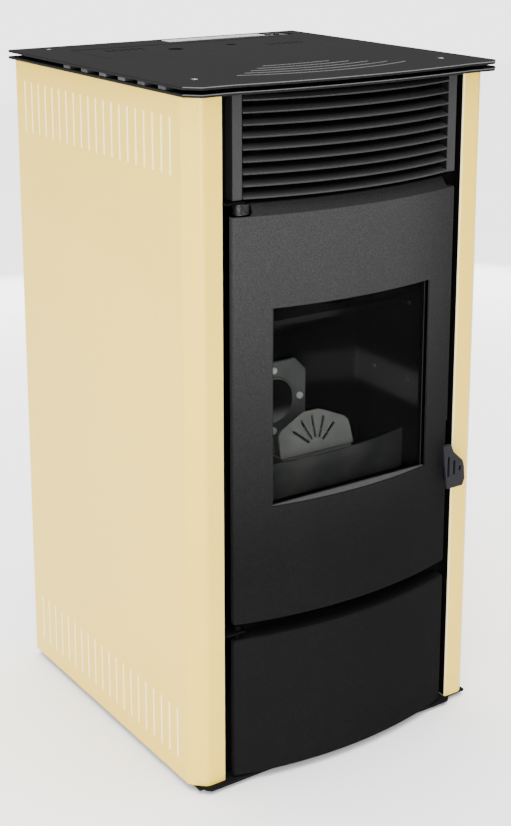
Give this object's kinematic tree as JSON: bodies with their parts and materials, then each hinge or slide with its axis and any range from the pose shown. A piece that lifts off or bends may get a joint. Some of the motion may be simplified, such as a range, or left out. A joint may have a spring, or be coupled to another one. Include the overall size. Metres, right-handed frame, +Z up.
{
  "type": "pellet stove",
  "caption": "Free-standing pellet stove with painted side panels, bowed window door, louvre grille, hopper lid and ash drawer behind a lower door.",
  "frame": {"origin": "on the floor, under the middle of the whole object's box", "axes": "+Z up, -Y out of the front with the doors, +X to the side with the handle"},
  "size_m": [0.525, 0.571, 1],
  "materials": {
    "cream_paint": "satin cream enamel",
    "black_paint": "fine-texture matte black high-temperature paint",
    "frame_black": "matte black, in shade",
    "glass": "clear, heat resistant",
    "rope": "woven mineral-fibre rope",
    "liner": "sooty steel",
    "cast_grate": "rough cast, dusted with ash",
    "galvanised": "galvanised sheet",
    "bare_steel": "plain steel",
    "dark_steel": "dark heat-resistant coating",
    "rubber": "matte",
    "plastic": "fine grain",
    "display": "light grey, glossy",
    "circuit": "green laminate"
  },
  "bodies": {
    "stove": {"base_plate": "black_paint", "foot_rail_left": "rubber", "foot_rail_right": "rubber", "side_panel_left": "cream_paint", "side_panel_right": "cream_paint", "back_panel": "galvanised", "lower_top_plate": "black_paint", "upper_top_plate": "black_paint", "plate_spacer_left": "bare_steel", "plate_spacer_right": "bare_steel", "control_panel": "plastic", "display_strip": "display", "grille_post_left": "black_paint", "grille_post_right": "black_paint", "louvre_blade_1": "black_paint", "louvre_blade_2": "black_paint", "louvre_blade_3": "black_paint", "louvre_blade_4": "black_paint", "louvre_blade_5": "black_paint", "louvre_blade_6": "black_paint", "louvre_blade_7": "black_paint", "louvre_blade_8": "black_paint", "louvre_blade_9": "black_paint", "air_outlet_frame": "frame_black", "front_column_left": "frame_black", "front_column_right": "frame_black", "front_frame_plate": "frame_black", "firebox": "liner", "pellet_chute": "dark_steel", "front_apron": "dark_steel", "flame_baffle": "liner", "combustion_air_duct": "galvanised", "igniter": "bare_steel", "drawer_shelf": "galvanised", "smoke_duct": "dark_steel", "flue_fan_housing": "galvanised", "flue_fan_motor": "bare_steel", "flue_pipe": "dark_steel", "hopper": "galvanised", "auger_tube": "galvanised", "auger_motor": "plastic", "blower_housing": "galvanised", "mains_inlet": "plastic", "control_board": "circuit"},
    "main_door": {"door_skin": "black_paint", "door_frame": "frame_black", "door_glass": "glass", "door_gasket": "rope"},
    "door_handle": {"door_handle": "black_paint"},
    "lower_door": {"lower_door": "black_paint"},
    "ash_drawer": {"ash_drawer": "galvanised"},
    "hopper_lid": {"hopper_lid": "black_paint"},
    "burn_pot": {"burn_pot": "cast_grate", "flame_plate": "cast_grate"},
    "auger": {"auger": "bare_steel"},
    "flue_fan": {"flue_fan_impeller": "bare_steel"},
    "room_blower": {"blower_rotor": "galvanised"},
    "power_switch": {"power_switch": "plastic"},
    "button_1": {"push_button_1": "plastic"},
    "button_2": {"push_button_2": "plastic"}
  },
  "joints": [
    {"name": "main_door_hinge", "type": "hinge", "parent": "stove", "child": "main_door", "pos_m": [-0.181, -0.2485, 0.54], "axis": [0, 0, -1], "range_deg": [0, 110]},
    {"name": "handle_turn", "type": "hinge", "parent": "main_door", "child": "door_handle", "pos_m": [0.18, -0.247, 0.398], "axis": [0, 0, -1], "range_deg": [0, 18]},
    {"name": "lower_door_hinge", "type": "hinge", "parent": "stove", "child": "lower_door", "pos_m": [-0.181, -0.2485, 0.116], "axis": [0, 0, -1], "range_deg": [0, 110]},
    {"name": "ash_drawer_slide", "type": "slide", "parent": "stove", "child": "ash_drawer", "axis": [0, -1, 0], "range_m": [0, 0.205]},
    {"name": "hopper_lid_hinge", "type": "hinge", "parent": "stove", "child": "hopper_lid", "pos_m": [0, 0.183, 0.998], "axis": [-1, 0, 0], "range_deg": [0, 85]},
    {"name": "burn_pot_lift", "type": "slide", "parent": "stove", "child": "burn_pot", "axis": [0, 0, 1], "range_m": [0, 0.045]},
    {"name": "auger_spin", "type": "hinge", "parent": "stove", "child": "auger", "pos_m": [0, 0.1, 0.624], "axis": [0, 1, 0], "continuous": true},
    {"name": "flue_fan_spin", "type": "hinge", "parent": "stove", "child": "flue_fan", "pos_m": [0.112, 0.015, 0.29], "axis": [0, 1, 0], "continuous": true},
    {"name": "room_blower_spin", "type": "hinge", "parent": "stove", "child": "room_blower", "pos_m": [-0.145, 0.13, 0.12], "axis": [1, 0, 0], "continuous": true},
    {"name": "power_switch_rock", "type": "hinge", "parent": "stove", "child": "power_switch", "pos_m": [-0.15575, 0.244, 0.118], "axis": [-1, 0, 0], "range_deg": [0, 20]},
    {"name": "button_1_press", "type": "slide", "parent": "stove", "child": "button_1", "axis": [0, 0, -1], "range_m": [0, 0.001], "stiffness_N_per_m": 250},
    {"name": "button_2_press", "type": "slide", "parent": "stove", "child": "button_2", "axis": [0, 0, -1], "range_m": [0, 0.001], "stiffness_N_per_m": 250}
  ],
  "couplings": [
    {"joint": "ash_drawer_slide", "follows": "lower_door_hinge", "m_per_rad": 0.105}
  ]
}
